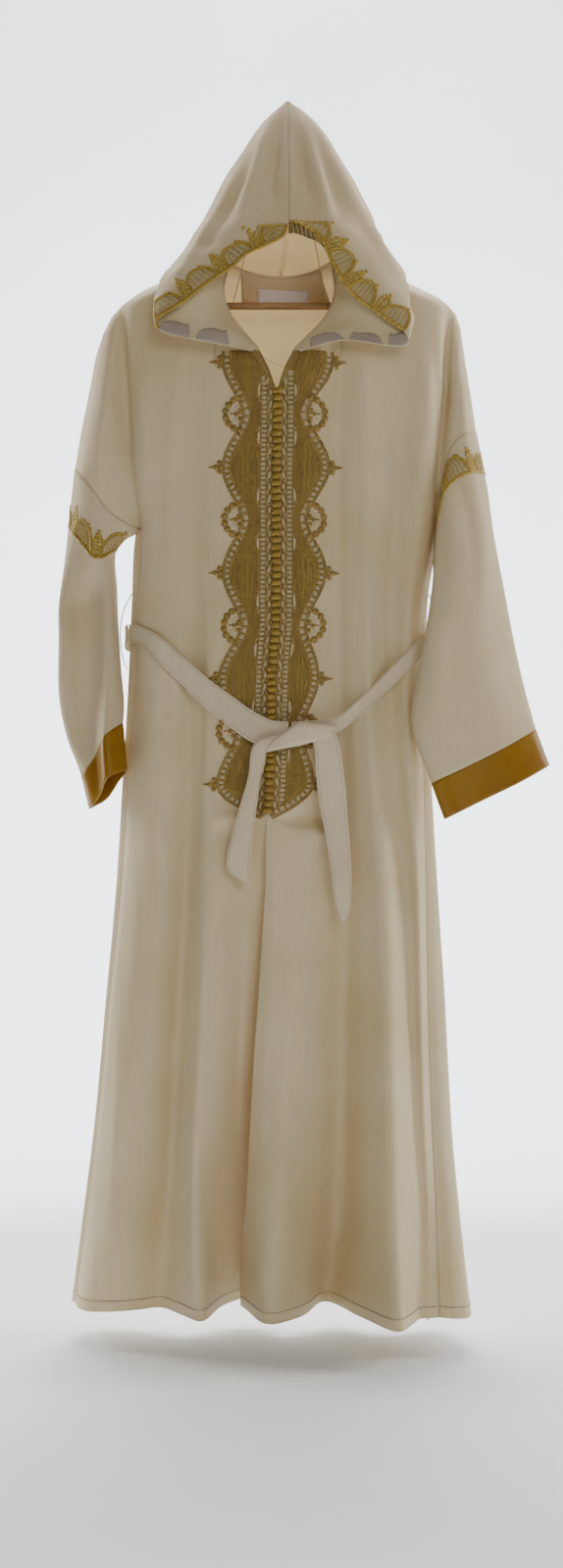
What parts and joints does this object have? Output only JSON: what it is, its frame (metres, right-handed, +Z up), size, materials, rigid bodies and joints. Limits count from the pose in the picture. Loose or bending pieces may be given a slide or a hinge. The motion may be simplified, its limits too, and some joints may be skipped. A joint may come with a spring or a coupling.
{
  "type": "hooded caftan on a rod hanger",
  "caption": "Long open-front hooded caftan with wide cuffed sleeves, embroidered front panels, knotted buttons and a tied cloth belt, hanging from a plain rod.",
  "frame": {"origin": "inner crown of the eye of the wire that the hanger rod hangs by, at the peak of the hood", "axes": "+Z up along the hanging garment, -Y the front, +X the wearer's left"},
  "size_m": [0.6637, 0.2518, 1.6461],
  "materials": {
    "front_right": "ivory satin-back crepe",
    "front_left": "ivory satin-back crepe",
    "back": "ivory satin-back crepe",
    "sleeve_right": "ivory satin-back crepe",
    "sleeve_left": "ivory satin-back crepe",
    "cuff_right": "mustard satin",
    "cuff_left": "mustard satin",
    "hood_right": "ivory satin-back crepe",
    "hood_left": "ivory satin-back crepe",
    "hood_trim_right": "gold thread embroidery",
    "hood_trim_left": "gold thread embroidery",
    "neck_facing": "ivory crepe, doubled",
    "neck_label": "woven label, bare",
    "embroidery_right": "gold thread embroidery",
    "embroidery_left": "gold thread embroidery",
    "button_row": "knotted gold silk cord",
    "sleeve_trim_right": "gold thread embroidery",
    "sleeve_trim_left": "gold thread embroidery",
    "belt_right": "ivory satin-back crepe",
    "belt_left": "ivory satin-back crepe",
    "belt_back": "ivory satin-back crepe",
    "belt_knot": "ivory satin-back crepe",
    "belt_tail_right": "ivory satin-back crepe",
    "belt_tail_left": "ivory satin-back crepe",
    "belt_loop_right": "ivory satin-back crepe",
    "belt_loop_left": "ivory satin-back crepe",
    "hanger_rod": "brown stained wood",
    "hanger_bail": "thin wire"
  },
  "bodies": {
    "root": {"front_right": "front_right", "front_left": "front_left", "back": "back", "sleeve_right": "sleeve_right", "sleeve_left": "sleeve_left", "cuff_right": "cuff_right", "cuff_left": "cuff_left", "hood_right": "hood_right", "hood_left": "hood_left", "hood_trim_right": "hood_trim_right", "hood_trim_left": "hood_trim_left", "neck_facing": "neck_facing", "neck_label": "neck_label", "embroidery_right": "embroidery_right", "embroidery_left": "embroidery_left", "button_row": "button_row", "sleeve_trim_right": "sleeve_trim_right", "sleeve_trim_left": "sleeve_trim_left", "belt_right": "belt_right", "belt_left": "belt_left", "belt_back": "belt_back", "belt_knot": "belt_knot", "belt_tail_right": "belt_tail_right", "belt_tail_left": "belt_tail_left", "belt_loop_right": "belt_loop_right", "belt_loop_left": "belt_loop_left", "hanger_rod": "hanger_rod", "hanger_bail": "hanger_bail"}
  },
  "joints": []
}
